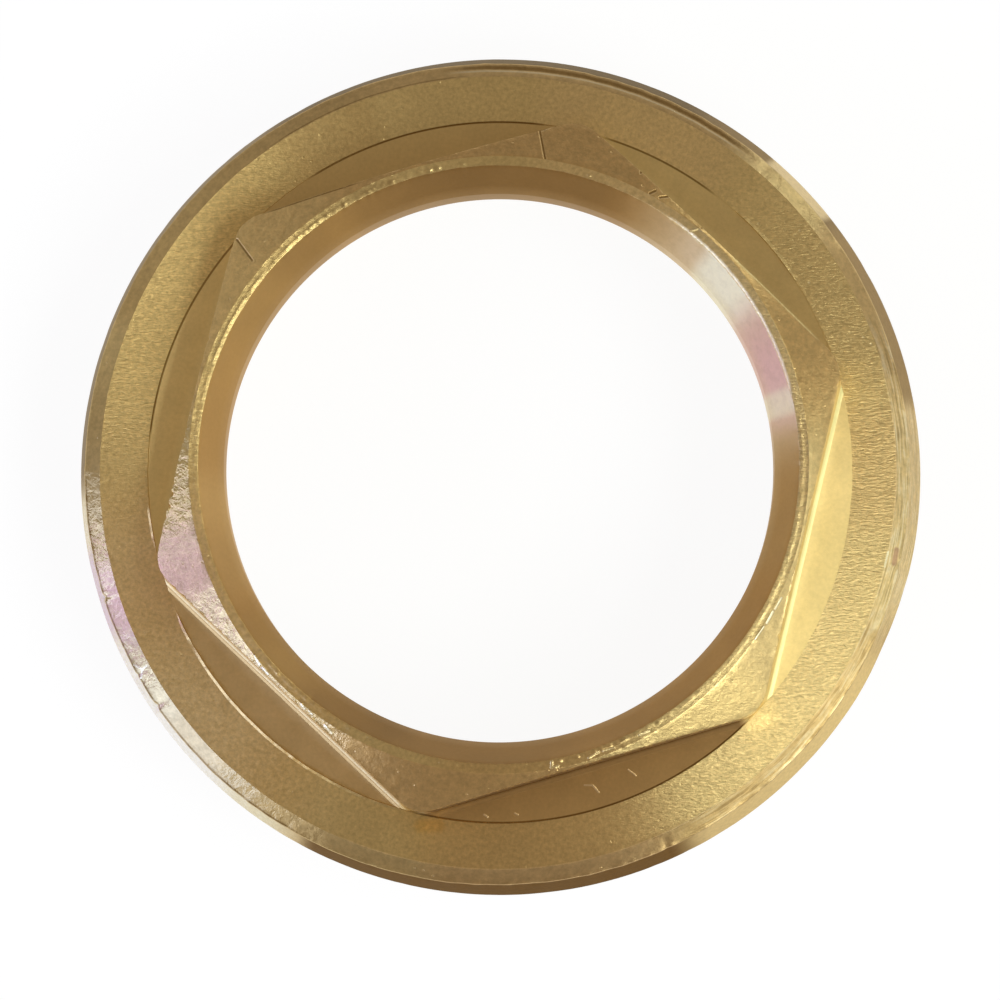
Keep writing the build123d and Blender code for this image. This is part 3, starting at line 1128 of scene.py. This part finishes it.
def thread_finish(finish, bump):
    """Thread, seat and recess: turned, and left as cut."""
    web = Brass("thread_brass")
    circles = web.round_noise(6, 9, 3)
    cloud = web.cloud(0.5, 3)
    height = web.total((circles, 1), (cloud, 0.6))
    web.start(cloud, shade(finish.brass, 0.9), shade(finish.brass, 0.96))
    web.grain()
    return web.close(0.38, height, 0.01 * bump, 0.6)


# Operators -------------------------------------------------------------------------------------

# In the order of the strips' finishes, from TURNED to THREAD.
FINISHES = (
    turned_finish, cone_finish, milled_finish, chamfer_finish, bore_finish, thread_finish,
)
WHITE = (0.92, 1.0, 0.94)
SKY = (0.43, 0.56, 1.0)
LILAC = (0.352, 0.296, 1.0)
PALE = (0.85, 0.9, 1.0)
# The lamps: which of the stage's two strengths they share in, and how much of it, the places and
# then the elevations that they span as seen from the nut, in degrees, and their colour.
LAMPS = (
    ("key_high", "key", 1.0, -8, 47, 57, 67, WHITE),
    ("key_low", "key", 1.05, 18, 61, 42, 57, WHITE),
    ("key_side", "key", 0.16, -44, -8, 46, 60, WHITE),
    ("rim_light", "key", 0.3, -18, 38, 5, 20, WHITE),
    ("side_glow", "key", 0.045, 198, 228, 20, 44, WHITE),
    ("side_patch", "key", 0.45, 306, 318, 4, 22, WHITE),
    ("window_frame", "window", 0.22, 121, 134, 4, 42, PALE),
    ("window_left", "window", 1.0, 134, 157, 4, 42, SKY),
    ("window_curtain", "window", 0.92, 160, 172, 4, 25, LILAC),
    ("window_right", "window", 1.0, 172, 180, 4, 42, SKY),
)
LAMP_DISTANCE = 0.6
# The point that the camera is aimed at, in millimetres.
AIM = (0.0784, -0.862, -0.2)


def add_object(context, name, data):
    thing = bpy.data.objects.new(name, data)
    context.collection.objects.link(thing)
    return thing


def skyward(turn, rise):
    """The direction at an angle from the X axis and an angle above the horizon."""
    return Vector((cos(turn) * cos(rise), sin(turn) * cos(rise), sin(rise)))


def lay_floor(context, stage):
    """Lays the floor, which the camera and reflections see as white with a faint shadow."""
    half = stage.floor_size / 2
    mesh = bpy.data.meshes.new("pale_floor")
    corners = [(-half, -half, 0), (half, -half, 0), (half, half, 0), (-half, half, 0)]
    mesh.from_pydata(corners, [], [(0, 1, 2, 3)])
    floor = add_object(context, "pale_floor", mesh)
    material = bpy.data.materials.new("pale_floor")
    material.use_nodes = True
    web = Web(material.node_tree)
    path = web.add("ShaderNodeLightPath").outputs
    seen = web.math("MAXIMUM", path["Is Camera Ray"], path["Is Glossy Ray"])
    seen = web.math("MAXIMUM", seen, path["Is Transmission Ray"])
    plain = web.add("ShaderNodeBsdfDiffuse", {"Color": (0.86, 0.85, 0.83)})
    white = web.add("ShaderNodeEmission", {"Color": (1.0, 1.0, 1.0), "Strength": 0.92})
    shadowed = web.add("ShaderNodeBsdfDiffuse", {"Color": (0.11, 0.11, 0.11)})
    bright = web.add("ShaderNodeAddShader", {0: white.outputs[0], 1: shadowed.outputs[0]})
    mixed = web.add("ShaderNodeMixShader", {0: seen, 1: plain.outputs[0], 2: bright.outputs[0]})
    web.add("ShaderNodeOutputMaterial", {"Surface": mixed.outputs[0]})
    mesh.materials.append(material)


def light_surround(context, stage):
    """Lights the scene from all round, and more from above."""
    world = bpy.data.worlds.new("soft_surround")
    context.scene.world = world
    world.use_nodes = True
    web = Web(world.node_tree)
    rise = web.split(web.add("ShaderNodeTexCoord").outputs["Generated"])[2]
    light = web.blend(web.ramp(rise, 0.35, 0.9), stage.around, stage.above)
    light = web.blend(web.ramp(rise, 0.01, 0.06, 1.0, 0.0), light, (1.0, 1.0, 1.0))
    background = web.add("ShaderNodeBackground", {"Color": light, "Strength": 1.0})
    web.add("ShaderNodeOutputWorld", {"Surface": background.outputs[0]})


def hang_lamp(context, name, radiance, start, end, low, high, tint):
    """Hangs a soft lamp, aimed at the nut, that spans these places and elevations."""
    rise = radians((low + high) / 2)
    lamp = bpy.data.lights.new(name, type="AREA")
    lamp.shape = "RECTANGLE"
    lamp.size = 2 * LAMP_DISTANCE * cos(rise) * tan(radians(end - start) / 2)
    lamp.size_y = 2 * LAMP_DISTANCE * tan(radians(high - low) / 2)
    lamp.energy = radiance * pi * lamp.size * lamp.size_y
    lamp.color = tint
    away = skyward(bearing_of((start + end) / 2), rise)
    hung = add_object(context, name, lamp)
    hung.location = away * LAMP_DISTANCE + Vector((0.0, 0.0, NODE_BOX[1].z))
    hung.rotation_euler = away.to_track_quat("Z", "Y").to_euler()


def aim_camera(context, stage):
    """Sets the camera up, turned so that the nut's first flat faces right."""
    data = bpy.data.cameras.new("camera")
    data.lens = stage.lens
    data.sensor_width = 36.0
    data.clip_start = 0.001
    data.clip_end = 20.0
    camera = add_object(context, "camera", data)
    away = skyward(stage.bearing, stage.elevation)
    right = Vector(toward(FIRST_TURN + pi / 2)).cross(away).normalized()
    place = Matrix((right, away.cross(right), away)).transposed().to_4x4()
    place.translation = Vector(AIM) * MM + away * stage.distance
    camera.matrix_world = place
    context.scene.camera = camera


class BuildNut(bpy.types.Operator):
    """Build the nut as one closed skin, with its thread, burrs and brass finishes"""

    bl_idname = "retaining_nut.build_nut"
    bl_label = "Build Nut"

    def execute(self, context):
        scene = context.scene
        mesh = nut_mesh(nut_skin(scene.nut_sizes, scene.nut_wear), "brass_nut")
        for make in FINISHES:
            mesh.materials.append(make(scene.nut_finish, scene.nut_wear.bump))
        nut = add_object(context, "brass_nut", mesh)
        high = max(vertex.co.z for vertex in mesh.vertices)
        if high > NODE_BOX[1].z + 1e-6:
            raise RuntimeError(f"the nut is {high / MM:.3f} mm high, which is above its solid")
        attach(nut, "root")
        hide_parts(NODE)
        return {"FINISHED"}


class BuildStage(bpy.types.Operator):
    """Lay the pale floor, set the lamps round the nut and aim the camera"""

    bl_idname = "retaining_nut.build_stage"
    bl_label = "Build Stage"

    def execute(self, context):
        stage = context.scene.nut_stage
        lay_floor(context, stage)
        light_surround(context, stage)
        for name, strength, part, *span, tint in LAMPS:
            hang_lamp(context, name, part * getattr(stage, strength), *span, tint)
        aim_camera(context, stage)
        context.scene.view_settings.view_transform = "Standard"
        return {"FINISHED"}


class NutPanel(bpy.types.Panel):
    """The nut's operators and sizes, in the sidebar"""

    bl_idname = "VIEW3D_PT_retaining_nut"
    bl_label = "Retaining Nut"
    bl_space_type = "VIEW_3D"
    bl_region_type = "UI"
    bl_category = "Retaining Nut"

    def draw(self, context):
        layout = self.layout
        for kind in (BuildNut, BuildStage):
            layout.operator(kind.bl_idname)
        for group in GROUPS:
            box = layout.box()
            held = getattr(context.scene, group)
            for name in held.bl_rna.properties.keys():
                if name not in ("rna_type", "name"):
                    box.prop(held, name)


GROUPS = {
    "nut_sizes": NutSizes, "nut_wear": NutWear, "nut_finish": NutFinish, "nut_stage": NutStage,
}
CLASSES = (*GROUPS.values(), BuildNut, BuildStage, NutPanel)


def register():
    for kind in CLASSES:
        bpy.utils.register_class(kind)
    for name, kind in GROUPS.items():
        setattr(bpy.types.Scene, name, PointerProperty(type=kind))


def unregister():
    for name in GROUPS:
        delattr(bpy.types.Scene, name)
    for kind in reversed(CLASSES):
        bpy.utils.unregister_class(kind)


def main():
    register()
    bpy.ops.retaining_nut.build_nut()
    bpy.ops.retaining_nut.build_stage()


if __name__ == "__main__":
    main()
